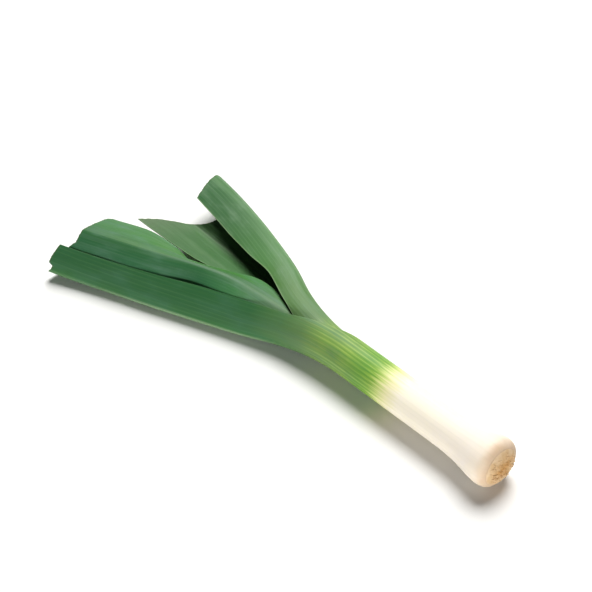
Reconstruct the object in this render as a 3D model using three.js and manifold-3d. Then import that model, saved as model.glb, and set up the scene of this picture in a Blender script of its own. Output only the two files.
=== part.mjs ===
// A trimmed leek lying on its side, in millimetres, +Z up.
//
// The plant's axis runs along X, with the root end at +X. It is four leaves and a root plate. Each leaf
// is one solid: a sheath, rolled into a tube about the axis, that opens into a keeled blade. The tubes
// nest inside one another and make the shank, and the blades fan out over the surface it lies on.

import * as THREE from "three";
import { mergeVertices } from "three/addons/utils/BufferGeometryUtils.js";
import Module from "manifold-3d";

const wasm = await Module();
wasm.setup();

// ---------------------------------------------------------------- driving dimensions

const SHANK_RADIUS = 14.4; // outside of the outermost sheath
const BULB_RADIUS = 19; // the swelling above the root plate
const AXIS_HEIGHT = BULB_RADIUS; // the bulb lies on the surface
const SHEATH_WALL = 2;
const LAYER_GAP = 0.5; // between one sheath and the next
const EDGE_WALL = 0.7; // at the margins of a blade
const NECK = -140; // where the sheaths start to open
const SHEATH_BASE = -0.3; // where they start, just clear of the root plate

const PLATE_RADIUS = 13.9;
const PLATE_DOME = 2.8; // how far the root plate stands out
const PLATE_FALL = 0.4; // the share of that it loses by its rim, under the roots
const PLATE_SIDES = 28;
const STUB_RADIUS = 0.9; // the roots, cut short
const STUB_LENGTH = 1.6;
const STUB_TAPER = 0.8;
const STUB_SIDES = 6;
const STUB_RINGS = [
  { radius: 4.1, count: 6, turned: 0 },
  { radius: 7.8, count: 10, turned: 0.3 },
  { radius: 11.2, count: 14, turned: 0.6 },
];
// Section of the root plate: radius, height.
const PLATE_PROFILE = [
  [0, 0],
  [PLATE_RADIUS - 0.6, 0],
  [PLATE_RADIUS, 0.7],
  [PLATE_RADIUS - 1.6, PLATE_DOME * 0.6],
  [PLATE_RADIUS * 0.6, PLATE_DOME * 0.9],
  [0, PLATE_DOME],
];

const HALF_COLUMNS = 11; // facets from midrib to margin
const ROWS_PER_SPAN = 2; // facets between two stations of a blade
const STEPS_PER_COLUMN = 4; // steps over the face for each facet
const KEEL_SPREAD = 3.5; // the fold at a keel turns within about this distance
const EDGE_POWER = 3; // how late a blade thins toward its margins
const CUT_SPANS = 2; // the cut shortens these last spans of a blade
const WELD = 1e-4; // vertices closer than this are one

// Outer profile from the root plate up the shank: x, radius.
const BULB_PROFILE = [
  [SHEATH_BASE, 14.6],
  [-1.6, 16.7],
  [-4.5, 18.4],
  [-9, BULB_RADIUS],
  [-15, 18.5],
  [-23, 17],
  [-32, 15.6],
  [-46, 14.7],
  [-75, SHANK_RADIUS],
  [NECK, SHANK_RADIUS],
];

const layerRadius = (layer) => SHANK_RADIUS - layer * (SHEATH_WALL + LAYER_GAP);
const straightProfile = (layer) => [
  [SHEATH_BASE, layerRadius(layer)],
  [NECK, layerRadius(layer)],
];

// ---------------------------------------------------------------- the leaves
//
// roll is the way the midrib faces, in degrees up from -Y. A station of a blade holds
//   at     the midrib, on the outer face
//   roll   the way it faces there
//   wide   distance from midrib to margin over the leaf's face, on its first and second side
//   fold   how far each side folds in at the keel, in degrees
//   curl   how much further each side has turned when it reaches its margin
//   wall   thickness beside the midrib
// The first side is the one above the midrib of a leaf that faces -Y. cut lists how much shorter the
// blade is than its midrib line, from one margin (-1) to the other (1).

const LEAVES = [
  {
    name: "outer_leaf",
    color: 0x4d7f4f,
    layer: 0,
    profile: BULB_PROFILE,
    sheathRoll: -37,
    sheathWall: null, // fills the bulb down to the next sheath
    blade: [
      { at: [-156, -11.9, 10.1], roll: -37, wide: [38, 40.1], fold: 2, curl: [144, 156], wall: 1.9 },
      { at: [-176, -14, 8.6], roll: -37, wide: [32.6, 28.1], fold: 8, curl: [108, 97], wall: 1.8 },
      { at: [-199.2, -19.4, 6], roll: -37, wide: [28.8, 23.4], fold: 26, curl: [64, 48], wall: 1.7 },
      { at: [-226.5, -30.3, 3.7], roll: -37, wide: [29.3, 27.5], fold: 44, curl: [38, 34], wall: 1.6 },
      { at: [-256.7, -42.4, 3.2], roll: -37, wide: [29, 27], fold: 53.2, curl: [24, 22], wall: 1.5 },
      { at: [-291, -56.3, 3.2], roll: -36, wide: [27.2, 26], fold: 57.8, curl: [14, 22], wall: 1.4 },
      { at: [-326.2, -69.8, 3.5], roll: -35, wide: [25.8, 25], fold: 57.8, curl: [10, 22], wall: 1.3 },
      { at: [-351.4, -80.4, 4.7], roll: -34, wide: [24.9, 24], fold: 60.4, curl: [10, 20], wall: 1.2 },
      { at: [-373.5, -90, 7], roll: -33, wide: [24.4, 23], fold: 60.4, curl: [10, 18], wall: 1.1 },
    ],
    cut: [[-1, 14], [-0.5, 6], [0, 1.2], [0.15, 2.8], [0.28, 4.4], [0.36, 0.6], [0.6, 1.8], [0.8, 3.4], [1, 5]],
  },
  {
    name: "rear_leaf",
    color: 0x7fa37b,
    layer: 1,
    sheathRoll: 143,
    sheathWall: SHEATH_WALL,
    blade: [
      { at: [-162, 9.8, 26.5], roll: 143, wide: [31.4, 29.7], fold: 4, curl: [146, 138], wall: 1.9 },
      { at: [-184, 12.1, 28.2], roll: 140, wide: [27.2, 24.5], fold: 12, curl: [104, 91], wall: 1.7 },
      { at: [-205.8, 17.1, 30.6], roll: 134, wide: [26.5, 20.4], fold: 24, curl: [62, 49], wall: 1.6 },
      { at: [-231.6, 26.9, 33.3], roll: 128, wide: [27.8, 19.6], fold: 36, curl: [34, 28], wall: 1.5 },
      { at: [-261.5, 36.2, 34], roll: 124, wide: [29.5, 24], fold: 42, curl: [18, 16], wall: 1.4 },
      { at: [-291.4, 44.7, 33], roll: 122, wide: [32.4, 26], fold: 42, curl: [10, 12], wall: 1.3 },
      { at: [-321.2, 52.2, 31], roll: 120, wide: [33.2, 26], fold: 40, curl: [8, 10], wall: 1.2 },
      { at: [-351.1, 58.7, 28], roll: 118, wide: [31.5, 25], fold: 38, curl: [6, 10], wall: 1.1 },
    ],
    cut: [[-1, 12], [-0.4, 4], [0, 0], [0.5, 5], [1, 16]],
  },
  {
    name: "ridge_leaf",
    color: 0x4a7a58,
    layer: 2,
    sheathRoll: 80,
    sheathWall: SHEATH_WALL,
    blade: [
      { at: [-160, -1.6, 28.3], roll: 80, wide: [14.8, 25.3], fold: 2, curl: [88, 154], wall: 1.7 },
      { at: [-180, -3.3, 27.7], roll: 80, wide: [8.1, 24.3], fold: 12, curl: [40, 108], wall: 1.6 },
      { at: [-200.1, -5.9, 27.1], roll: 80, wide: [5.2, 23.8], fold: 12, curl: [28, 80], wall: 1.6 },
      { at: [-218.1, -8.4, 29.4], roll: 88, wide: [13.5, 19], fold: 5, curl: [30, 72], wall: 1.5 },
      { at: [-234.2, -11.5, 32.2], roll: 93, wide: [17.5, 17.5], fold: 6, curl: [24, 70], wall: 1.5 },
      { at: [-252.3, -16.6, 35.6], roll: 91, wide: [17.5, 20.5], fold: 26, curl: [20, 48], wall: 1.5 },
      { at: [-278.5, -26.9, 37.4], roll: 89, wide: [22.5, 28], fold: 60, curl: [8, 8], wall: 1.4 },
      { at: [-300.7, -37.2, 37.6], roll: 78, wide: [28, 28], fold: 42, curl: [8, 8], wall: 1.3 },
      { at: [-325.9, -48.2, 38], roll: 71, wide: [30, 28], fold: 35, curl: [8, 8], wall: 1.2 },
      { at: [-349, -57.4, 38], roll: 69, wide: [27.5, 28], fold: 36, curl: [6, 8], wall: 1.1 },
      { at: [-372.5, -66.6, 38], roll: 70, wide: [26.5, 28], fold: 34, curl: [2, 8], wall: 1.1 },
    ],
    cut: [[-1, 2], [-0.54, 4], [-0.37, 8.5], [0, 10.7], [0.1, 12.4], [0.25, 13.8], [0.5, 15.4], [0.8, 17.2], [0.92, 18.6], [1, 21.5]],
  },
  {
    name: "inner_leaf",
    color: 0x6f9f6a,
    layer: 3,
    sheathRoll: -97,
    sheathWall: 6.2, // rolled tight
    blade: [
      { at: [-160, 0.9, 12.2], roll: -97, wide: [17.4, 14], fold: 6, curl: [144, 124], wall: 4 },
      { at: [-180, 3, 12.4], roll: -98, wide: [15.3, 13.7], fold: 14, curl: [90, 82], wall: 2.3 },
      { at: [-200, 5.9, 12.8], roll: -99, wide: [16.4, 15.9], fold: 22, curl: [44, 48], wall: 1.8 },
      { at: [-217.9, 8.5, 13.7], roll: -99, wide: [17.4, 17.4], fold: 26, curl: [20, 22], wall: 1.6 },
      { at: [-235.9, 11.2, 14.8], roll: -99, wide: [20, 20], fold: 26, curl: [12, 12], wall: 1.5 },
      { at: [-251.9, 12.6, 15.4], roll: -98, wide: [21, 21], fold: 25, curl: [4, 16], wall: 1.5 },
      { at: [-271.8, 14.2, 15.6], roll: -98, wide: [24.5, 20], fold: 26, curl: [0, 22], wall: 1.4 },
      { at: [-299.8, 15.8, 15], roll: -97, wide: [32.6, 19], fold: 28, curl: [-2, 24], wall: 1.3 },
      { at: [-329.8, 17.7, 14.4], roll: -97, wide: [35.6, 18.5], fold: 30, curl: [-6, 24], wall: 1.2 },
      { at: [-357.8, 19.3, 14], roll: -97, wide: [34, 18], fold: 30, curl: [-14, 24], wall: 1.1 },
    ],
    cut: [[-1, 43], [-0.5, 37], [0, 27], [0.3, 18], [0.6, 10], [0.8, 5.5], [1, 1.5]],
  },
];

// ---------------------------------------------------------------- shaping a leaf

const radians = THREE.MathUtils.degToRad;

// Slopes for a curve through values that never overshoots them.
function gentleSlopes(values) {
  return values.map((value, i) => {
    if (i === 0 || i === values.length - 1) return 0;
    const before = value - values[i - 1];
    const after = values[i + 1] - value;
    return before * after <= 0 ? 0 : (2 * before * after) / (before + after);
  });
}

function gentleCurve(values) {
  const slopes = gentleSlopes(values);
  return (s) => {
    const i = Math.min(Math.floor(s), values.length - 2);
    const t = s - i;
    const start = (1 + 2 * t) * (1 - t) ** 2;
    const end = t * t * (3 - 2 * t);
    const leaving = t * (1 - t) ** 2;
    const arriving = t * t * (t - 1);
    return start * values[i] + end * values[i + 1] + leaving * slopes[i] + arriving * slopes[i + 1];
  };
}

// The stations of a leaf from its base: rings of the closed sheath, then those of the blade.
function stationsOf(leaf) {
  const innerRadius = layerRadius(leaf.layer) - SHEATH_WALL;
  const rings = (leaf.profile ?? straightProfile(leaf.layer)).map(([x, radius]) => ({
    at: [
      x,
      -radius * Math.cos(radians(leaf.sheathRoll)),
      AXIS_HEIGHT + radius * Math.sin(radians(leaf.sheathRoll)),
    ],
    roll: leaf.sheathRoll,
    wide: [Math.PI * radius, Math.PI * radius],
    fold: 0,
    curl: [180, 180],
    wall: leaf.sheathWall ?? radius - innerRadius,
    open: 0,
  }));
  return [...rings, ...leaf.blade.map((station) => ({ ...station, open: 1 }))];
}

// A leaf as a function of s, its distance from the base in stations, and q, from -1 at one margin
// through 0 at the midrib to 1 at the other.
function leafSurface(leaf) {
  const stations = stationsOf(leaf);
  const lastClosed = stations.length - leaf.blade.length - 1;
  const midrib = new THREE.CatmullRomCurve3(stations.map(({ at }) => new THREE.Vector3(...at)));
  const along = (pick) => gentleCurve(stations.map(pick));
  const roll = along((station) => radians(station.roll));
  const fold = along((station) => radians(station.fold));
  const wide = [0, 1].map((side) => along((station) => station.wide[side]));
  const curl = [0, 1].map((side) => along((station) => radians(station.curl[side])));
  const wall = along((station) => station.wall);
  const open = along((station) => station.open);
  const last = stations.length - 1;

  function frame(s) {
    const tangent = midrib.getTangent(s / last);
    const ease = THREE.MathUtils.smoothstep(s, lastClosed, lastClosed + 1);
    const forward = new THREE.Vector3(-1, 0, 0).lerp(tangent, ease).normalize();
    const side = new THREE.Vector3(-forward.y, forward.x, 0).normalize();
    const up = forward.clone().cross(side);
    const outward = side.multiplyScalar(Math.cos(roll(s))).addScaledVector(up, Math.sin(roll(s)));
    const across = forward.clone().cross(outward);
    return { origin: midrib.getPoint(s / last), outward, across };
  }

  // One half of a section: points on the outer and inner faces from the midrib to the margin.
  function halfSection(s, sign, { origin, outward, across }) {
    const which = sign > 0 ? 0 : 1;
    const steps = HALF_COLUMNS * STEPS_PER_COLUMN;
    const reach = wide[which](s);
    const step = reach / steps;
    const point = origin.clone();
    const outer = [];
    const inner = [];
    const turnAt = (q) => fold(s) * (1 - Math.exp((-q * reach) / KEEL_SPREAD)) + curl[which](s) * q;
    const place = (q) => {
      const turn = turnAt(q);
      const normal = outward.clone().multiplyScalar(Math.cos(turn));
      normal.addScaledVector(across, sign * Math.sin(turn));
      const thickness = THREE.MathUtils.lerp(wall(s), EDGE_WALL, open(s) * q ** EDGE_POWER);
      outer.push(point.clone());
      inner.push(point.clone().addScaledVector(normal, -thickness));
    };
    place(0);
    for (let k = 0; k < steps; k++) {
      const turn = turnAt((k + 0.5) / steps);
      point.addScaledVector(across, sign * Math.cos(turn) * step);
      point.addScaledVector(outward, -Math.sin(turn) * step);
      if ((k + 1) % STEPS_PER_COLUMN === 0) place((k + 1) / steps);
    }
    return { outer, inner };
  }

  return { halfSection, frame, last, lastClosed };
}

// How much of a blade the knife took off at q.
function trimAt(cut, q) {
  const next = Math.max(1, cut.findIndex(([at]) => at >= q));
  const [from, to] = [cut[next - 1], cut[next]];
  return THREE.MathUtils.mapLinear(q, from[0], to[0], from[1], to[1]);
}

// The whole leaf as one closed surface.
function leafGeometry(leaf) {
  const { halfSection, frame, last, lastClosed } = leafSurface(leaf);
  const [beforeTip, tip] = leaf.blade.slice(-2).map(({ at }) => new THREE.Vector3(...at));
  const lastSpan = tip.distanceTo(beforeTip);
  const cutFrom = last - CUT_SPANS;
  const rows = [];
  for (let s = 0; s < lastClosed; s++) rows.push(s);
  for (let k = 0; k <= (last - lastClosed) * ROWS_PER_SPAN; k++) rows.push(lastClosed + k / ROWS_PER_SPAN);

  const columns = 2 * HALF_COLUMNS + 1;
  const position = [];
  const index = [];
  const vertex = (row, column, face) => {
    const closed = rows[row] <= lastClosed;
    const around = closed && column === columns - 1 ? 0 : column;
    return (row * columns + around) * 2 + face;
  };
  for (const s of rows) {
    for (let column = 0; column < columns; column++) {
      const half = column - HALF_COLUMNS;
      const q = half / HALF_COLUMNS;
      const kept = 1 - trimAt(leaf.cut, q) / (CUT_SPANS * lastSpan);
      const here = s > cutFrom ? cutFrom + (s - cutFrom) * kept : s;
      const section = halfSection(here, half < 0 ? -1 : 1, frame(here));
      position.push(...section.outer[Math.abs(half)].toArray(), ...section.inner[Math.abs(half)].toArray());
    }
  }
  const quad = (a, b, c, d) => index.push(a, b, c, a, c, d);
  for (let row = 0; row < rows.length - 1; row++) {
    for (let column = 0; column < columns - 1; column++) {
      const corners = [[row, column], [row, column + 1], [row + 1, column + 1], [row + 1, column]];
      const outer = corners.map(([r, c]) => vertex(r, c, 0));
      const inner = corners.map(([r, c]) => vertex(r, c, 1));
      quad(...outer);
      quad(...inner.reverse());
    }
    if (rows[row + 1] > lastClosed) {
      for (const [column, turned] of [[0, false], [columns - 1, true]]) {
        const rim = [vertex(row, column, 0), vertex(row + 1, column, 0)];
        rim.push(vertex(row + 1, column, 1), vertex(row, column, 1));
        quad(...(turned ? rim.reverse() : rim));
      }
    }
  }
  for (const [row, turned] of [[0, false], [rows.length - 1, true]]) {
    for (let column = 0; column < columns - 1; column++) {
      const end = [vertex(row, column + 1, 0), vertex(row, column, 0)];
      end.push(vertex(row, column, 1), vertex(row, column + 1, 1));
      quad(...(turned ? end.reverse() : end));
    }
  }
  const geometry = new THREE.BufferGeometry();
  geometry.setAttribute("position", new THREE.Float32BufferAttribute(position, 3));
  geometry.setIndex(index);
  return geometry;
}

// ---------------------------------------------------------------- solids

function solidFrom(geometry) {
  const bare = geometry.clone();
  bare.deleteAttribute("normal");
  bare.deleteAttribute("uv");
  const merged = mergeVertices(bare, WELD);
  return new wasm.Manifold(
    new wasm.Mesh({
      numProp: 3,
      vertProperties: merged.attributes.position.array,
      triVerts: new Uint32Array(merged.index.array),
    }),
  );
}

function geometryFrom(solid) {
  const { vertProperties, triVerts } = solid.getMesh();
  const geometry = new THREE.BufferGeometry();
  geometry.setAttribute("position", new THREE.BufferAttribute(vertProperties, 3));
  geometry.setIndex(new THREE.BufferAttribute(triVerts, 1));
  geometry.computeVertexNormals();
  return geometry;
}

// ---------------------------------------------------------------- root plate

// A shallow dome of hard tissue with the roots cut short over it.
function rootPlateSolid() {
  const profile = PLATE_PROFILE.map(([radius, height]) => new THREE.Vector2(radius, height));
  let plate = solidFrom(new THREE.LatheGeometry(profile, PLATE_SIDES));
  for (const { radius, count, turned } of STUB_RINGS) {
    for (let k = 0; k < count; k++) {
      const turn = (2 * Math.PI * (k + turned)) / count;
      const skin = PLATE_DOME * (1 - PLATE_FALL * (radius / PLATE_RADIUS) ** 2);
      const tip = STUB_RADIUS * STUB_TAPER;
      const stub = new THREE.CylinderGeometry(tip, STUB_RADIUS, 2 * STUB_LENGTH, STUB_SIDES);
      stub.translate(radius * Math.cos(turn), skin, radius * Math.sin(turn));
      plate = plate.add(solidFrom(stub));
    }
  }
  return plate;
}

// ---------------------------------------------------------------- assembly

const leek = new THREE.Group();

function addPiece(name, solid, color, roughness) {
  const material = new THREE.MeshStandardMaterial({ color, roughness, metalness: 0 });
  const mesh = new THREE.Mesh(geometryFrom(solid), material);
  mesh.name = name;
  leek.add(mesh);
  return mesh;
}

for (const leaf of LEAVES) addPiece(leaf.name, solidFrom(leafGeometry(leaf)), leaf.color, 0.5);

const plate = addPiece("root_plate", rootPlateSolid(), 0xc8a878, 0.9);
plate.rotation.z = -Math.PI / 2;
plate.position.set(0, 0, AXIS_HEIGHT);

// The origin is on the surface the leek lies on, under the middle of the whole plant.
const extent = new THREE.Box3().setFromObject(leek, true);
const middle = extent.getCenter(new THREE.Vector3());
leek.position.set(-middle.x, -middle.y, -extent.min.z);

export default leek;
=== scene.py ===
import math
import random

import bmesh
import bpy
import numpy as np
from mathutils import Matrix, Vector, noise


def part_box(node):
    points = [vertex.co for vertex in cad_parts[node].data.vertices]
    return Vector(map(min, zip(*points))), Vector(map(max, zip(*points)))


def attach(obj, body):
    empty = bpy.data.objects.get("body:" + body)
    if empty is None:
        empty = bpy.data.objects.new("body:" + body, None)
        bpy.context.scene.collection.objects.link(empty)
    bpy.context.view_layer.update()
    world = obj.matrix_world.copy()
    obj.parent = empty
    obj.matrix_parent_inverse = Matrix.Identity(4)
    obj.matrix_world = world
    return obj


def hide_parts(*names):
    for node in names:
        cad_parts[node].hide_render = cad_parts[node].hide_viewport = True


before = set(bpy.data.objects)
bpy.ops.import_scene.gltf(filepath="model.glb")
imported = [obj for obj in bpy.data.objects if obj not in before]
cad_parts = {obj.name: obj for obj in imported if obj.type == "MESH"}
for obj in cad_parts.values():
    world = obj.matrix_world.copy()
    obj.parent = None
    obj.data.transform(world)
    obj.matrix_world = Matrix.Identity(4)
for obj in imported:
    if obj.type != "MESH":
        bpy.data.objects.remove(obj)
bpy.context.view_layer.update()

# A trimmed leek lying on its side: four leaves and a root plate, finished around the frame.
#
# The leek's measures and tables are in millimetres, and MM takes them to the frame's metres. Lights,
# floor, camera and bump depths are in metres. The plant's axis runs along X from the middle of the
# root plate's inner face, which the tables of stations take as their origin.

MM = 0.001

# ---------------------------------------------------------------- the plant's measures

SHANK_RADIUS = 14.4
BULB_RADIUS = 19
SHEATH_WALL = 2
LAYER_GAP = 0.5  # between two sheaths
EDGE_WALL = 0.6  # of a blade at its margins
EDGE_POWER = 3  # how late across a blade its wall thins to that
NECK = -140  # where the blades leave the shank
SHEATH_BASE = -0.3
KEEL_SPREAD = 3.5  # across a blade, how soon the fold at its keel is done
CUT_SPANS = 2  # the stations that a ragged cut end is spread over
PLATE_RADIUS = 14.3
PLATE_DOME = 2.8
PLATE_BACK = -0.2  # inside the sheaths' ends

plate_low, plate_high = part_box("root_plate")
ROOT = Vector((plate_low.x, (plate_low.y + plate_high.y) / 2, (plate_low.z + plate_high.z) / 2))
AXIS_HEIGHT = BULB_RADIUS

BULB_PROFILE = [
    (SHEATH_BASE, 14.6),
    (-1.6, 16.7),
    (-4.5, 18.4),
    (-9, BULB_RADIUS),
    (-15, 18.5),
    (-23, 17),
    (-32, 15.6),
    (-46, 14.7),
    (-75, SHANK_RADIUS),
    (NECK, SHANK_RADIUS),
]

HALF_COLUMNS = 46  # faces from midrib to margin
STEPS_PER_COLUMN = 2
ROW_LENGTH = 2.2  # of a face along the leaf
SEAM = 0.01  # the two edges of a closed sheath are nearer than this


def layer_radius(layer):
    return SHANK_RADIUS - layer * (SHEATH_WALL + LAYER_GAP)


# A station of a blade holds the midrib's x, y and z on the outer face, in millimetres from the root
# end of the axis on the surface; the way it faces in degrees up from -Y; the widths of its first and
# second side; the fold at its keel; how much further each side has turned at its margin; and the wall.
# cut holds how much shorter the blade is than its midrib, from one margin (-1) to the other (1).
LEAVES = {
    "outer_leaf": {
        "layer": 0,
        "profile": BULB_PROFILE,
        "sheath_faces": -37,
        "blade": [
            (-156, -11.9, 10.1, -37, 38, 40.1, 2, 144, 156, 1.9),
            (-176, -14, 8.6, -37, 32.6, 28.1, 8, 108, 97, 1.8),
            (-199.2, -19.4, 6, -37, 28.8, 23.4, 26, 64, 48, 1.7),
            (-226.5, -30.3, 3.7, -37, 29.3, 27.5, 44, 38, 34, 1.6),
            (-256.7, -42.4, 3.2, -37, 29, 27, 53.2, 24, 22, 1.5),
            (-291, -56.3, 3.2, -36, 27.2, 26, 57.8, 14, 22, 1.4),
            (-326.2, -69.8, 3.5, -35, 25.8, 25, 57.8, 10, 22, 1.3),
            (-351.4, -80.4, 4.7, -34, 24.9, 24, 60.4, 10, 20, 1.2),
            (-373.5, -90, 7, -33, 24.4, 23, 60.4, 10, 18, 1.1),
        ],
        "cut": [
            (-1, 14),
            (-0.5, 6),
            (0, 1.2),
            (0.15, 2.8),
            (0.28, 4.4),
            (0.36, 0.6),
            (0.6, 1.8),
            (0.8, 3.4),
            (1, 5),
        ],
    },
    "rear_leaf": {
        "layer": 1,
        "sheath_faces": 143,
        "blade": [
            (-162, 9.8, 26.5, 143, 31.4, 29.7, 4, 146, 138, 1.9),
            (-184, 12.1, 28.2, 140, 27.2, 24.5, 12, 104, 91, 1.7),
            (-205.8, 17.1, 30.6, 134, 26.5, 20.4, 24, 62, 49, 1.6),
            (-231.6, 26.9, 33.3, 128, 27.8, 19.6, 36, 34, 28, 1.5),
            (-261.5, 36.2, 34, 124, 29.5, 24, 42, 18, 16, 1.4),
            (-291.4, 44.7, 33, 122, 32.4, 26, 42, 10, 12, 1.3),
            (-321.2, 52.2, 31, 120, 33.2, 26, 40, 8, 10, 1.2),
            (-351.1, 58.7, 28, 118, 31.5, 25, 38, 6, 10, 1.1),
        ],
        "cut": [(-1, 12), (-0.4, 4), (0, 0), (0.5, 5), (1, 16)],
    },
    "ridge_leaf": {
        "layer": 2,
        "sheath_faces": 80,
        "blade": [
            (-160, -1.6, 28.3, 80, 14.8, 25.3, 2, 88, 154, 1.7),
            (-180, -3.3, 27.7, 80, 8.1, 24.3, 12, 40, 108, 1.6),
            (-200.1, -5.9, 27.1, 80, 5.2, 23.8, 12, 28, 80, 1.6),
            (-218.1, -8.4, 29.4, 88, 13.5, 19, 5, 30, 72, 1.5),
            (-234.2, -11.5, 32.2, 93, 17.5, 17.5, 6, 24, 70, 1.5),
            (-252.3, -16.6, 35.6, 91, 17.5, 20.5, 26, 20, 48, 1.5),
            (-278.5, -26.9, 37.4, 89, 22.5, 28, 60, 8, 8, 1.4),
            (-300.7, -37.2, 37.6, 78, 28, 28, 42, 8, 8, 1.3),
            (-325.9, -48.2, 38, 71, 30, 28, 35, 8, 8, 1.2),
            (-349, -57.4, 38, 69, 27.5, 28, 36, 6, 8, 1.1),
            (-372.5, -66.6, 38, 70, 26.5, 28, 34, 2, 8, 1.1),
        ],
        "cut": [
            (-1, 2),
            (-0.54, 4),
            (-0.37, 8.5),
            (0, 10.7),
            (0.1, 12.4),
            (0.25, 13.8),
            (0.5, 15.4),
            (0.8, 17.2),
            (0.92, 18.6),
            (1, 21.5),
        ],
    },
    "inner_leaf": {
        "layer": 3,
        "sheath_faces": -97,
        "sheath_wall": 6.2,
        "blade": [
            (-160, 0.9, 12.2, -97, 17.4, 14, 6, 144, 124, 4),
            (-180, 3, 12.4, -98, 15.3, 13.7, 14, 90, 82, 2.3),
            (-200, 5.9, 12.8, -99, 16.4, 15.9, 22, 44, 48, 1.8),
            (-217.9, 8.5, 13.7, -99, 17.4, 17.4, 26, 20, 22, 1.6),
            (-235.9, 11.2, 14.8, -99, 20, 20, 26, 12, 12, 1.5),
            (-251.9, 12.6, 15.4, -98, 21, 21, 25, 4, 16, 1.5),
            (-271.8, 14.2, 15.6, -98, 24.5, 20, 26, 0, 22, 1.4),
            (-299.8, 15.8, 15, -97, 32.6, 19, 28, -2, 24, 1.3),
            (-329.8, 17.7, 14.4, -97, 35.6, 18.5, 30, -6, 24, 1.2),
            (-357.8, 19.3, 14, -97, 34, 18, 30, -14, 24, 1.1),
        ],
        "cut": [(-1, 43), (-0.5, 37), (0, 27), (0.3, 18), (0.6, 10), (0.8, 5.5), (1, 1.5)],
    },
}

# ---------------------------------------------------------------- curves through stations


def gentle_curve(values):
    """A curve through values, one for each station, that never overshoots them."""
    slopes = [0.0] * len(values)
    for i in range(1, len(values) - 1):
        before = values[i] - values[i - 1]
        after = values[i + 1] - values[i]
        if before * after > 0:
            slopes[i] = 2 * before * after / (before + after)

    def at(s):
        i = min(int(s), len(values) - 2)
        t = s - i
        start = (1 + 2 * t) * (1 - t) ** 2
        end = t * t * (3 - 2 * t)
        leaving = t * (1 - t) ** 2
        arriving = t * t * (t - 1)
        return start * values[i] + end * values[i + 1] + leaving * slopes[i] + arriving * slopes[i + 1]

    return at


def smooth_path(points):
    """A centripetal Catmull-Rom curve through points, one for each station."""
    before = points[0] * 2 - points[1]
    after = points[-1] * 2 - points[-2]
    padded = [before] + points + [after]

    def at(s):
        i = min(int(s), len(points) - 2)
        t = s - i
        a, b, c, d = padded[i : i + 4]
        first, span, last = [max((v - u).length, 1e-8) ** 0.5 for u, v in ((a, b), (b, c), (c, d))]
        leaving = ((b - a) / first - (c - a) / (first + span) + (c - b) / span) * span
        arriving = ((c - b) / span - (d - b) / (span + last) + (d - c) / last) * span
        bend = (c - b) * 3 - leaving * 2 - arriving
        twist = (b - c) * 2 + leaving + arriving
        return b + leaving * t + bend * t**2 + twist * t**3

    return at


def smooth_step(value, low, high):
    t = min(max((value - low) / (high - low), 0.0), 1.0)
    return t * t * (3 - 2 * t)


# ---------------------------------------------------------------- the shape of a leaf


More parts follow.
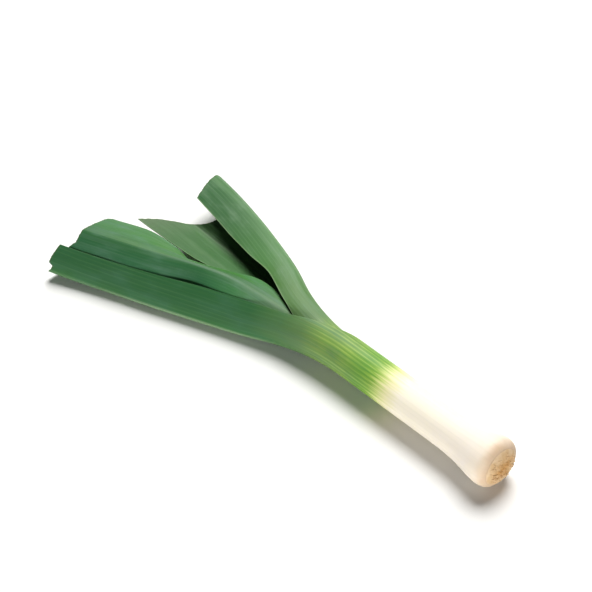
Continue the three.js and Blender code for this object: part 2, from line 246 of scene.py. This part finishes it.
class Leaf:
    """A leaf's outer face and wall as functions of s, its distance from the base in stations, and q,
    from -1 at one margin through 0 at the midrib to 1 at the other. In millimetres."""

    def __init__(self, layer, sheath_faces, blade, cut, profile=None, sheath_wall=None):
        self.radius = layer_radius(layer)
        core = self.radius - SHEATH_WALL
        self.profile = profile or [(SHEATH_BASE, self.radius), (NECK, self.radius)]
        self.cut = cut
        self.closed = len(self.profile) - 1
        self.last = self.closed + len(blade)
        faces = math.radians(sheath_faces)
        stations = []
        for x, ring in self.profile:
            wall = sheath_wall or (ring - core if profile else SHEATH_WALL)
            y = -ring * math.cos(faces)
            z = AXIS_HEIGHT + ring * math.sin(faces)
            stations.append((x, y, z, sheath_faces, math.pi * ring, math.pi * ring, 0, 180, 180, wall))
        stations += blade
        columns = list(zip(*stations))
        self.points = [Vector(station[:3]) for station in stations]
        self.path = smooth_path(self.points)
        self.x = gentle_curve(columns[0])
        self.faces = gentle_curve([math.radians(v) for v in columns[3]])
        self.reach = [gentle_curve(columns[4]), gentle_curve(columns[5])]
        self.fold = gentle_curve([math.radians(v) for v in columns[6]])
        self.curl = [gentle_curve([math.radians(v) for v in columns[k]]) for k in (7, 8)]
        self.wall = gentle_curve(columns[9])
        self.open = gentle_curve([0.0] * len(self.profile) + [1.0] * len(blade))
        self.last_span = (self.points[-1] - self.points[-2]).length

    def frame(self, s):
        """The midrib's place, the way it faces, and the way across it."""
        delta = 0.001
        low, high = max(s - delta, 0), min(s + delta, self.last)
        tangent = (self.path(high) - self.path(low)).normalized()
        forward = Vector((-1, 0, 0)).lerp(tangent, smooth_step(s, self.closed, self.closed + 1)).normalized()
        side = Vector((-forward.y, forward.x, 0)).normalized()
        up = forward.cross(side)
        faces = self.faces(s)
        outward = side * math.cos(faces) + up * math.sin(faces)
        if s <= self.closed:
            origin = Vector((self.x(s), 0, AXIS_HEIGHT)) + outward * (self.reach[0](s) / math.pi)
        else:
            origin = self.path(s)
        return origin, outward, forward.cross(outward)

    def half_section(self, s, side):
        """Points of the outer face from midrib to margin, the way each faces, and the wall there."""
        origin, outward, across = (np.array(v) for v in self.frame(s))
        across = across * (-1 if side else 1)
        reach, fold, curl = self.reach[side](s), self.fold(s), self.curl[side](s)
        steps = HALF_COLUMNS * STEPS_PER_COLUMN

        def turn(q):
            return fold * (1 - np.exp(-q * reach / KEEL_SPREAD)) + curl * q

        middles = turn((np.arange(steps) + 0.5) / steps)
        along = np.concatenate(([0], np.cumsum(np.cos(middles))))[::STEPS_PER_COLUMN] * reach / steps
        inward = np.concatenate(([0], np.cumsum(np.sin(middles))))[::STEPS_PER_COLUMN] * reach / steps
        q = np.linspace(0, 1, HALF_COLUMNS + 1)
        turned = turn(q)
        points = origin + np.outer(along, across) - np.outer(inward, outward)
        normals = np.outer(np.cos(turned), outward) + np.outer(np.sin(turned), across)
        walls = self.wall(s) + (EDGE_WALL - self.wall(s)) * self.open(s) * q**EDGE_POWER
        return points, normals, walls, reach

    def trim(self, q):
        """How much of the blade the knife took off at q."""
        for (from_q, from_trim), (to_q, to_trim) in zip(self.cut, self.cut[1:]):
            if q <= to_q:
                return from_trim + (to_trim - from_trim) * (q - from_q) / (to_q - from_q)
        return self.cut[-1][1]

    def rows(self):
        """The values of s that get a row of faces' corners, the first two clear of each other's rounding."""
        rows = [0.0]
        for span in range(self.last):
            length = (self.points[span + 1] - self.points[span]).length
            count = max(2, round(length / ROW_LENGTH))
            rows += [span + (k + 1) / count for k in range(count)]
        clear = [s for s in rows if abs(self.x(s) - self.x(0)) > 2 * EDGE_ROUNDING]
        return [0.0] + clear


# ---------------------------------------------------------------- modelling

GRAIN_RADIUS = 9  # the veins keep their places as on a tube of this radius
PLEAT_HEIGHT = 0.16
PLEAT_LENGTH = 90
PLEAT_WIDTH = 4.2
VEIN_HEIGHT = 0.05
VEIN_LENGTH = 45
VEIN_WIDTH = 1.5
CUT_RAGGED = 0.45  # depth
CUT_TEETH = 19  # across half a blade
EDGE_ROUNDING = 0.14
EDGE_ANGLE = math.radians(50)  # edges sharper than this are rounded


def to_frame():
    """From the tables' millimetres to the frame."""
    return Matrix.Translation(ROOT - Vector((0, 0, AXIS_HEIGHT)) * MM) @ Matrix.Scale(MM, 4)


def relief(grain):
    """Height of the pleats and veins that run along a leaf."""
    pleat = noise.noise(Vector((grain.x / PLEAT_LENGTH, grain.y / PLEAT_WIDTH, grain.z / PLEAT_WIDTH)))
    vein = noise.noise(Vector((grain.x / VEIN_LENGTH + 7, grain.y / VEIN_WIDTH, grain.z / VEIN_WIDTH)))
    return PLEAT_HEIGHT * pleat + VEIN_HEIGHT * vein


def leaf_mesh(leaf):
    """A leaf as a sheet of its outer face that is given its wall."""
    rows = leaf.rows()
    alongs = [0.0]
    for before, here in zip(rows, rows[1:]):
        alongs.append(alongs[-1] + (leaf.path(here) - leaf.path(before)).length)
    cut_from = leaf.last - CUT_SPANS

    bm = bmesh.new()
    grain = bm.verts.layers.float_vector.new("grain")
    place = bm.verts.layers.float_vector.new("place")
    to_cut = bm.verts.layers.float.new("to_cut")
    inward = bm.verts.layers.float_vector.new("inward")
    bmesh.ops.create_grid(bm, x_segments=2 * HALF_COLUMNS, y_segments=len(rows) - 1, size=1)
    whole_rows = {}
    seam = []
    for vert in bm.verts:
        row = round((vert.co.y + 1) / 2 * (len(rows) - 1))
        half = round(vert.co.x * HALF_COLUMNS)
        side = 0 if half >= 0 else 1
        q = half / HALF_COLUMNS
        s = rows[row]
        if s > cut_from:
            ragged = leaf.trim(q) + CUT_RAGGED * (1 + noise.noise(Vector((q * CUT_TEETH, leaf.last, 0.5))))
            s = cut_from + (s - cut_from) * (1 - ragged / (CUT_SPANS * leaf.last_span))
            section = leaf.half_section(s, side)
        else:
            if (row, side) not in whole_rows:
                whole_rows[row, side] = leaf.half_section(s, side)
            section = whole_rows[row, side]
        points, normals, walls, reach = section
        point, normal = Vector(points[abs(half)]), Vector(normals[abs(half)])
        along = float(np.interp(s, rows, alongs))
        closed = s <= leaf.closed
        turn = q * (math.pi if closed else reach / leaf.radius)
        vert[grain] = Vector((along, GRAIN_RADIUS * math.cos(turn), GRAIN_RADIUS * math.sin(turn)))
        margin = reach if closed else reach * (1 - abs(q))
        vert[place] = Vector((reach * q, margin, 0))
        vert[to_cut] = alongs[-1] - leaf.trim(q) - along
        fade = 1 - abs(q) ** 8 * (1 - leaf.open(s))
        vert.co = point + normal * relief(vert[grain]) * fade
        vert[inward] = -normal * float(walls[abs(half)])
        if closed and abs(half) == HALF_COLUMNS:
            seam.append(vert)
    bmesh.ops.remove_doubles(bm, verts=seam, dist=SEAM)
    wall = bmesh.ops.extrude_face_region(bm, geom=bm.faces[:])
    for vert in wall["geom"]:
        if isinstance(vert, bmesh.types.BMVert):
            vert.co += vert[inward]
            vert[place] = Vector((vert[place].x, vert[place].y, 1))
    bm.verts.layers.float_vector.remove(inward)
    bmesh.ops.recalc_face_normals(bm, faces=bm.faces[:])
    return bm


def finished(name, bm, material, slot):
    """The mesh as a piece of the leek, hung on the root body, in place of the frame's part named slot, which
    is hidden.
    """
    bmesh.ops.transform(bm, matrix=to_frame(), verts=bm.verts[:])
    for face in bm.faces:
        face.smooth = True
    mesh = bpy.data.meshes.new(name)
    bm.to_mesh(mesh)
    bm.free()
    mesh.materials.append(material)
    piece = bpy.data.objects.new(name, mesh)
    bpy.context.scene.collection.objects.link(piece)
    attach(piece, "root")
    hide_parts(slot)
    return piece


def round_edges(piece):
    rounding = piece.modifiers.new("edges", "BEVEL")
    rounding.width = EDGE_ROUNDING * MM
    rounding.segments = 2
    rounding.limit_method = "ANGLE"
    rounding.angle_limit = EDGE_ANGLE


# The root plate: a knobbly dome with the roots cut short over it.

PLATE_SIDES = 96
PLATE_RINGS = 22
PLATE_KNOBS = 0.3  # height, where the dome is higher than KNOBS_ABOVE
KNOBS_ABOVE = 0.2
LUMP_WIDTH = 1.9
GRIT_WIDTH = 0.7
PLATE_RAGGED = 0.04  # of the rim, as a share of its radius
RAGGED_WIDTH = 4
STUBS = 130
STUB_CLEAR = 2  # of the rim
STUB_RADIUS = (0.35, 0.62)
STUB_TAPER = (0.7, 0.95)
STUB_LENGTH = (0.3, 0.8)
STUB_LEAN = 14  # degrees each way
STUB_SIDES = 7


def plate_height(radius):
    """How far the plate stands out at a radius."""
    share = radius / PLATE_RADIUS
    return PLATE_DOME * (1 - 0.35 * share**2 - 0.64 * share**4)


def root_plate_mesh():
    bm = bmesh.new()
    profile = [(0, PLATE_BACK), (PLATE_RADIUS - 0.5, PLATE_BACK), (PLATE_RADIUS, PLATE_BACK / 2)]
    for k in range(PLATE_RINGS + 1):
        radius = (PLATE_RADIUS - 0.1) * (1 - k / PLATE_RINGS)
        profile.append((radius, plate_height(radius)))
    verts = [bm.verts.new((height, radius, 0)) for radius, height in profile]
    edges = [bm.edges.new(pair) for pair in zip(verts, verts[1:])]
    bmesh.ops.spin(
        bm,
        geom=verts + edges,
        cent=(0, 0, 0),
        axis=(1, 0, 0),
        angle=2 * math.pi,
        steps=PLATE_SIDES,
        use_merge=True,
    )
    bmesh.ops.remove_doubles(bm, verts=bm.verts[:], dist=SEAM)
    bmesh.ops.recalc_face_normals(bm, faces=bm.faces[:])
    for vert in bm.verts:
        if vert.co.x > KNOBS_ABOVE:
            lump = noise.noise(Vector((vert.co.y, vert.co.z, 3)) / LUMP_WIDTH)
            grit = noise.noise(Vector((vert.co.y, vert.co.z, 9)) / GRIT_WIDTH)
            vert.co.x += PLATE_KNOBS * (lump + 0.5 * grit)
        radius = math.hypot(vert.co.y, vert.co.z)
        ragged = noise.noise(Vector((vert.co.y, vert.co.z, 5)) / RAGGED_WIDTH) + 0.5 * noise.noise(vert.co)
        spread = 1 + PLATE_RAGGED * ragged * smooth_step(radius, 0.7 * PLATE_RADIUS, PLATE_RADIUS)
        vert.co.y *= spread
        vert.co.z *= spread
    draw = random.Random(11)
    for _ in range(STUBS):
        radius = (PLATE_RADIUS - STUB_CLEAR) * math.sqrt(draw.random())
        turn = draw.uniform(0, 2 * math.pi)
        length = draw.uniform(*STUB_LENGTH)
        thick = draw.uniform(*STUB_RADIUS)
        stub = bmesh.ops.create_cone(
            bm,
            cap_ends=True,
            segments=STUB_SIDES,
            radius1=thick,
            radius2=thick * draw.uniform(*STUB_TAPER),
            depth=2 * length,
        )["verts"]
        lean = Matrix.Rotation(math.radians(90 + draw.uniform(-STUB_LEAN, STUB_LEAN)), 4, "Y")
        sway = Matrix.Rotation(math.radians(draw.uniform(-STUB_LEAN, STUB_LEAN)), 4, "Z")
        foot = Vector((plate_height(radius), radius * math.cos(turn), radius * math.sin(turn)))
        bmesh.ops.transform(bm, matrix=Matrix.Translation(foot) @ sway @ lean, verts=stub)
    lift = Matrix.Translation((0, 0, AXIS_HEIGHT))
    bmesh.ops.transform(bm, matrix=lift, verts=bm.verts[:])
    return bm


# ---------------------------------------------------------------- materials


def tone(code):
    """A colour written as a six-figure code, as the linear values that a socket takes."""
    parts = [int(code[i : i + 2], 16) / 255 for i in (0, 2, 4)]
    return [p / 12.92 if p <= 0.04045 else ((p + 0.055) / 1.055) ** 2.4 for p in parts] + [1]


class Finish:
    """A material's node tree, built up a node at a time. Each method gives the socket it makes."""

    def __init__(self, name):
        self.material = bpy.data.materials.new(name)
        self.material.use_nodes = True
        self.tree = self.material.node_tree
        self.tree.nodes.clear()

    def node(self, kind, inputs=(), **settings):
        made = self.tree.nodes.new(kind)
        for key, value in settings.items():
            setattr(made, key, value)
        for key, value in dict(inputs).items():
            if isinstance(value, bpy.types.NodeSocket):
                self.tree.links.new(value, made.inputs[key])
            else:
                made.inputs[key].default_value = value
        return made

    def attribute(self, name):
        return self.node("ShaderNodeAttribute", attribute_name=name)

    def parts(self, vector):
        return self.node("ShaderNodeSeparateXYZ", {0: vector}).outputs

    def math(self, operation, a, b=0.0, clamp=False):
        return self.node("ShaderNodeMath", {0: a, 1: b}, operation=operation, use_clamp=clamp).outputs[0]

    def between(self, value, low, high, start=0.0, end=1.0):
        """value eased from start at low to end at high."""
        inputs = {"Value": value, "From Min": low, "From Max": high, "To Min": start, "To Max": end}
        return self.node("ShaderNodeMapRange", inputs, interpolation_type="SMOOTHSTEP").outputs[0]

    def stretched(self, vector, along, across, shift=0.0):
        """vector with its pattern drawn out: lengths of one period along and across a leaf."""
        inputs = {"Vector": vector, "Scale": (1 / along, 1 / across, 1 / across), "Location": (shift,) * 3}
        return self.node("ShaderNodeMapping", inputs).outputs[0]

    def cloud(self, vector, detail):
        """A soft random pattern whose lumps are one unit of vector apart."""
        inputs = {"Vector": vector, "Scale": 1.0, "Detail": detail}
        return self.node("ShaderNodeTexNoise", inputs).outputs["Fac"]

    def mixed(self, factor, a, b):
        return self.node("ShaderNodeMix", {0: factor, 6: a, 7: b}, data_type="RGBA").outputs[2]

    def tinted(self, color, code, share, *masks):
        """color with a share of another mixed in where all the masks are open."""
        for mask in masks:
            share = self.math("MULTIPLY", share, mask)
        return self.mixed(share, color, tone(code))

    def ramp(self, value, stops):
        """A colour for value, from stops of (value, colour code) whose first is at or above 0."""
        longest = stops[-1][0]
        factor = self.math("DIVIDE", value, longest)
        made = self.node("ShaderNodeValToRGB", {"Fac": factor})
        points = made.color_ramp.elements
        for _ in stops[2:]:
            points.new(0.5)
        for point, (at, code) in zip(points, stops):
            point.position = at / longest
            point.color = tone(code)
        return made.outputs["Color"]

    def surface(self, inputs):
        shader = self.node("ShaderNodeBsdfPrincipled", inputs)
        self.node("ShaderNodeOutputMaterial", {"Surface": shader.outputs[0]})
        return self.material

    def bump(self, height, depth, strength):
        inputs = {"Height": height, "Distance": depth, "Strength": strength}
        return self.node("ShaderNodeBump", inputs).outputs[0]


VEINS = 30  # round a sheath
FEATHER = 10  # how far the green reaches down between the veins, in millimetres
WHITE_SHANK = [
    (0, "ecdcc4"),
    (20, "f2e8da"),
    (90, "f3ebd6"),
    (101, "e6e0ac"),
    (108, "c0cf78"),
    (114, "86ac42"),
    (122, "6c9c38"),
    (140, "84a446"),
    (162, "7c984a"),
    (180, "5e7e4c"),
]

# Where a leaf's looks come and go, in millimetres from its base.
STAIN = (17, 6)
STAIN_RAGGED = 11
FEATHERED = (30, 90)
GREEN = (105, 150)
STRIPES = (106, 120)
STRIPES_FADE = (150, 190)
FIBRE_FADE = (190, 150)
BLADE = (185, 235)
SIDES_DIFFER = (215, 260)
# The pale midrib line, partly a painted highlight, fades toward the cut end.
RIB_FADE = (390, 290)

# The same across a leaf, in millimetres from its midrib, its margin or its cut end.
KEEL = (13, 1)
RIM = (0.9, 0.2)
DRIED = (2.2, 0.2)


def leaf_material(name, tones):
    """Satin leaf: white at the root, feathered into green, with veins and a waxy bloom."""
    finish = Finish(name)
    grain = finish.attribute("grain").outputs["Vector"]
    along, around_y, around_z = finish.parts(grain)
    across, from_margin, inside = finish.parts(finish.attribute("place").outputs["Vector"])
    from_midrib = finish.math("ABSOLUTE", across)
    to_cut = finish.attribute("to_cut").outputs["Fac"]

    streak = finish.cloud(finish.stretched(grain, 60, 0.8), detail=3)
    broad = finish.cloud(finish.stretched(grain, 80, 3.6, shift=5), detail=2)
    patch = finish.cloud(finish.stretched(grain, 24, 7, shift=11), detail=3)
    angle = finish.math("ARCTAN2", around_z, around_y)
    wave = finish.math("SINE", finish.math("MULTIPLY", angle, VEINS))
    vein = finish.between(wave, 0.2, 1.0)

    # The ground colour, from the root to the cut end, on each face and on each side.
    feather = finish.math("MULTIPLY", finish.math("SUBTRACT", streak, 0.5), 2 * FEATHER)
    feather = finish.math("MULTIPLY", feather, finish.between(along, *FEATHERED))
    feathered = finish.math("ADD", along, feather)
    outside = finish.ramp(feathered, WHITE_SHANK + tones["outside"])
    lining = finish.ramp(feathered, WHITE_SHANK + tones["lining"])
    color = finish.mixed(finish.between(inside, 0.4, 0.6), outside, lining)
    stained = finish.math("ADD", along, finish.math("MULTIPLY", patch, STAIN_RAGGED))
    color = finish.tinted(color, "d2b698", finish.between(stained, *STAIN, 0, 0.95))
    if "first_side" in tones:
        first = finish.between(across, -0.5, 0.5)
        first = finish.math("MULTIPLY", first, finish.between(along, *SIDES_DIFFER))
        color = finish.mixed(first, color, finish.ramp(along, tones["first_side"]))

    # Green stripes and lime fibres over the lower green.
    green = finish.between(feathered, *GREEN)
    striped = finish.between(feathered, *STRIPES)
    rough_stripes = finish.between(streak, 0.52, 0.7, 0, 0.6)
    stripes = finish.math("ADD", finish.math("MULTIPLY", vein, 0.65), rough_stripes, clamp=True)
    stripes_fade = finish.between(along, *STRIPES_FADE, 0.8, 0.08)
    color = finish.tinted(color, "548e36", stripes, striped, stripes_fade)
    fibre = finish.between(wave, -0.3, -0.95)
    broken = finish.between(streak, 0.35, 0.6)
    fibre_fade = finish.between(along, *FIBRE_FADE, 0, 0.5)
    color = finish.tinted(color, "b2cc6c", fibre, broken, striped, fibre_fade)

    # Keel, bloom, shade and veins of the blade.
    blade = finish.between(along, *BLADE)
    keel = finish.math("MULTIPLY", finish.between(from_midrib, *KEEL), blade)
    uneven = finish.between(broad, 0.3, 0.6, 0.4, 1.0)
    color = finish.tinted(color, tones["keel"], tones["keel_strength"], keel, uneven)
    color = finish.tinted(color, tones["bloom"], 0.24, finish.between(broad, 0.45, 0.75), green)
    color = finish.tinted(color, tones["shade"], 0.22, finish.between(streak, 0.5, 0.25), green)
    color = finish.tinted(color, tones["bloom"], 0.45, finish.between(patch, 0.45, 0.8), green)
    vein_lines = finish.between(feathered, 100, 150, 0.05, 0.08)
    color = finish.tinted(color, tones["vein"], vein, vein_lines, finish.between(streak, 0.38, 0.62))

    # Midrib, margins and the dried cut end. The pale line along the midrib is partly its own paler green and
    # partly a painted highlight on the keel.
    pale_rib_and_highlight = finish.between(from_midrib, tones["rib_reach"], 0.5 * tones["rib_reach"])
    rib_fade = finish.between(along, *RIB_FADE, 0.25, 1)
    color = finish.tinted(color, "9fb892", tones["pale_rib_and_highlight"], pale_rib_and_highlight, blade, rib_fade)
    color = finish.tinted(color, "a9c795", tones["rim"], finish.between(from_margin, *RIM), green)
    color = finish.tinted(color, "5c6a45", 0.45, finish.between(to_cut, *DRIED))

    height = finish.math("ADD", finish.math("MULTIPLY", streak, 0.9), finish.math("MULTIPLY", vein, 0.25))
    return finish.surface({
        "Base Color": color,
        "Roughness": finish.between(patch, 0.2, 0.8, 0.46, 0.6),
        "Normal": finish.bump(height, 0.00009, 0.7),
        "Specular IOR Level": 0.28,
        "Subsurface Weight": 0.12,
        "Subsurface Scale": 0.002,
        "Subsurface Radius": (1, 1, 0.4),
    })


# Distances from the root plate's middle, in metres, between which its colour turns paler.
CORE_TO_RIM = (0.003, 0.011)
RIM_TO_SKIN = (0.0115, 0.0145)
BLOTCH = 0.008  # how far lumps shift those


def root_material():
    """Dry corky tissue with fibres, paler toward its rim."""
    finish = Finish("root plate")
    where = finish.node("ShaderNodeTexCoord").outputs["Object"]
    inputs = {"Vector": where, "Scale": (700, 700, 700)}
    fine = finish.cloud(finish.node("ShaderNodeMapping", inputs).outputs[0], detail=3)
    inputs = {"Vector": where, "Scale": (170, 170, 170), "Location": (3, 1, 2)}
    lumps = finish.cloud(finish.node("ShaderNodeMapping", inputs).outputs[0], detail=2)
    _, y, z = finish.parts(where)
    y = finish.math("SUBTRACT", y, ROOT.y)
    z = finish.math("SUBTRACT", z, AXIS_HEIGHT * MM)
    squares = finish.math("ADD", finish.math("MULTIPLY", y, y), finish.math("MULTIPLY", z, z))
    blotch = finish.math("MULTIPLY", finish.math("SUBTRACT", lumps, 0.5), BLOTCH)
    radius = finish.math("ADD", finish.math("SQRT", squares), blotch)
    color = finish.mixed(finish.between(radius, *CORE_TO_RIM), tone("c4965a"), tone("cfae82"))
    # Toward the skin the rim turns a paler tan; this paler edge is also painted light that lifts the shade
    # of the crease between plate and sheath.
    color = finish.tinted(color, "dabf9c", finish.between(radius, *RIM_TO_SKIN))
    color = finish.tinted(color, "dcc098", finish.between(lumps, 0.45, 0.7, 0, 0.5))
    color = finish.tinted(color, "b08450", finish.between(fine, 0.6, 0.75, 0, 0.45))
    return finish.surface({"Base Color": color, "Roughness": 0.8, "Normal": finish.bump(fine, 0.0002, 0.5)})


# For each leaf: the colours of its outer face, its lining and, where it differs, the outer face of its
# first side, from its lower green to its cut end; the colours laid over those; how strong its keel,
# midrib and pale margin are; and how far its midrib reaches to each side, in millimetres.
TONES = {
    "outer_leaf": {
        "outside": [(200, "4d7442"), (225, "326439"), (260, "2b6034"), (400, "2b5e36")],
        "lining": [(215, "5a8a42"), (260, "4c7c3c"), (400, "46703c")],
        "keel": "2f6a2a",
        "keel_strength": 0.75,
        "bloom": "427056",
        "shade": "254828",
        "vein": "7a9a72",
        # Strong here: along this keel the pale midrib line is partly a painted highlight.
        "pale_rib_and_highlight": 0.5,
        "rib_reach": 4.4,
        "rim": 0.0,
    },
    "rear_leaf": {
        "outside": [(215, "4e7539"), (250, "4b7841"), (310, "386238"), (400, "325e37")],
        "lining": [(215, "5a8a42"), (260, "4c7c3c"), (400, "46703c")],
        "keel": "548048",
        "keel_strength": 0.5,
        "bloom": "728f70",
        "shade": "44703e",
        "vein": "94b08c",
        "pale_rib_and_highlight": 0.2,
        "rib_reach": 1.6,
        "rim": 0.5,
    },
    "ridge_leaf": {
        "outside": [(215, "587f4e"), (245, "407846"), (275, "306841"), (400, "2c623e")],
        "first_side": [(0, "3d762b"), (290, "3d762b"), (400, "42704a")],
        "lining": [(215, "5a8a42"), (260, "4c7c3c"), (400, "46703c")],
        "keel": "2c5c2c",
        "keel_strength": 0.75,
        "bloom": "5a8068",
        "shade": "244c34",
        "vein": "749878",
        "pale_rib_and_highlight": 0.05,
        "rib_reach": 1.6,
        "rim": 0.15,
    },
    "inner_leaf": {
        "outside": [(215, "4a7a42"), (260, "447442"), (400, "426a44")],
        # From 215 mm on the lining darkens to painted shadow, which shows on the upturned face of the second
        # side.
        "lining": [(215, "38682c"), (260, "1f3e1c"), (400, "243c22")],
        "first_side": [
            (0, "3c6c2e"),
            (215, "3c6c2e"),
            (260, "34642e"),
            (320, "3e6438"),
            (360, "5c6f52"),
            (400, "6c715a"),
        ],
        "keel": "4a7c38",
        # Weak, so that the keel's lighter green leaves the lining's painted shadow dark up to the fold.
        "keel_strength": 0.1,
        "bloom": "56784f",
        "shade": "35602f",
        "vein": "7ca074",
        "pale_rib_and_highlight": 0.1,
        "rib_reach": 1.6,
        "rim": 0.2,
    },
}

# ---------------------------------------------------------------- the leek

for leaf_name, tones in TONES.items():
    shape = leaf_mesh(Leaf(**LEAVES[leaf_name]))
    round_edges(finished(leaf_name + "_skin", shape, leaf_material(leaf_name, tones), leaf_name))
finished("root_disc", root_plate_mesh(), root_material(), "root_plate")

# ---------------------------------------------------------------- floor, light and camera

FLOOR_SIZE = 4.0
WORLD_STRENGTH = 0.035
LIT_SPOT = Vector((-0.05, 0, 0))
VIEW_AZIMUTH = math.radians(46.78)  # 0 looks along +Y, 90 along -X
VIEW_ELEVATION = math.radians(42.5)
VIEW_DISTANCE = 1.8
VIEW_AIM = ROOT + Vector((-232.9, 30.3, -AXIS_HEIGHT)) * MM
LENS = 149.33


def make_floor():
    bm = bmesh.new()
    bmesh.ops.create_grid(bm, x_segments=1, y_segments=1, size=FLOOR_SIZE)
    mesh = bpy.data.meshes.new("floor")
    bm.to_mesh(mesh)
    bm.free()
    finish = Finish("floor")
    mesh.materials.append(finish.surface({"Base Color": tone("f2f1ee"), "Roughness": 0.9}))
    floor = bpy.data.objects.new("floor", mesh)
    bpy.context.scene.collection.objects.link(floor)


def soft_light(name, place, size, power):
    lamp = bpy.data.lights.new(name, "AREA")
    lamp.shape = "DISK"
    lamp.size = size
    lamp.energy = power
    light = bpy.data.objects.new(name, lamp)
    light.location = place
    light.rotation_euler = (LIT_SPOT - Vector(place)).to_track_quat("-Z", "Y").to_euler()
    bpy.context.scene.collection.objects.link(light)


def make_camera():
    back = Vector((
        math.sin(VIEW_AZIMUTH) * math.cos(VIEW_ELEVATION),
        -math.cos(VIEW_AZIMUTH) * math.cos(VIEW_ELEVATION),
        math.sin(VIEW_ELEVATION),
    ))
    camera = bpy.data.objects.new("camera", bpy.data.cameras.new("camera"))
    camera.data.lens = LENS
    camera.location = VIEW_AIM + back * VIEW_DISTANCE
    camera.rotation_euler = back.to_track_quat("Z", "Y").to_euler()
    bpy.context.scene.collection.objects.link(camera)
    bpy.context.scene.camera = camera


def make_world():
    world = bpy.data.worlds.new("studio")
    world.use_nodes = True
    background = world.node_tree.nodes["Background"]
    background.inputs["Strength"].default_value = WORLD_STRENGTH
    background.inputs["Color"].default_value = (1, 1, 1, 1)
    bpy.context.scene.world = world
    bpy.context.scene.view_settings.view_transform = "Standard"


make_floor()
soft_light("key light", (-0.64, 1.11, 2.12), 1.8, 101)
soft_light("fill light", (1.9, -2.1, 0.37), 0.66, 58)
make_camera()
make_world()

bpy.context.view_layer.update()
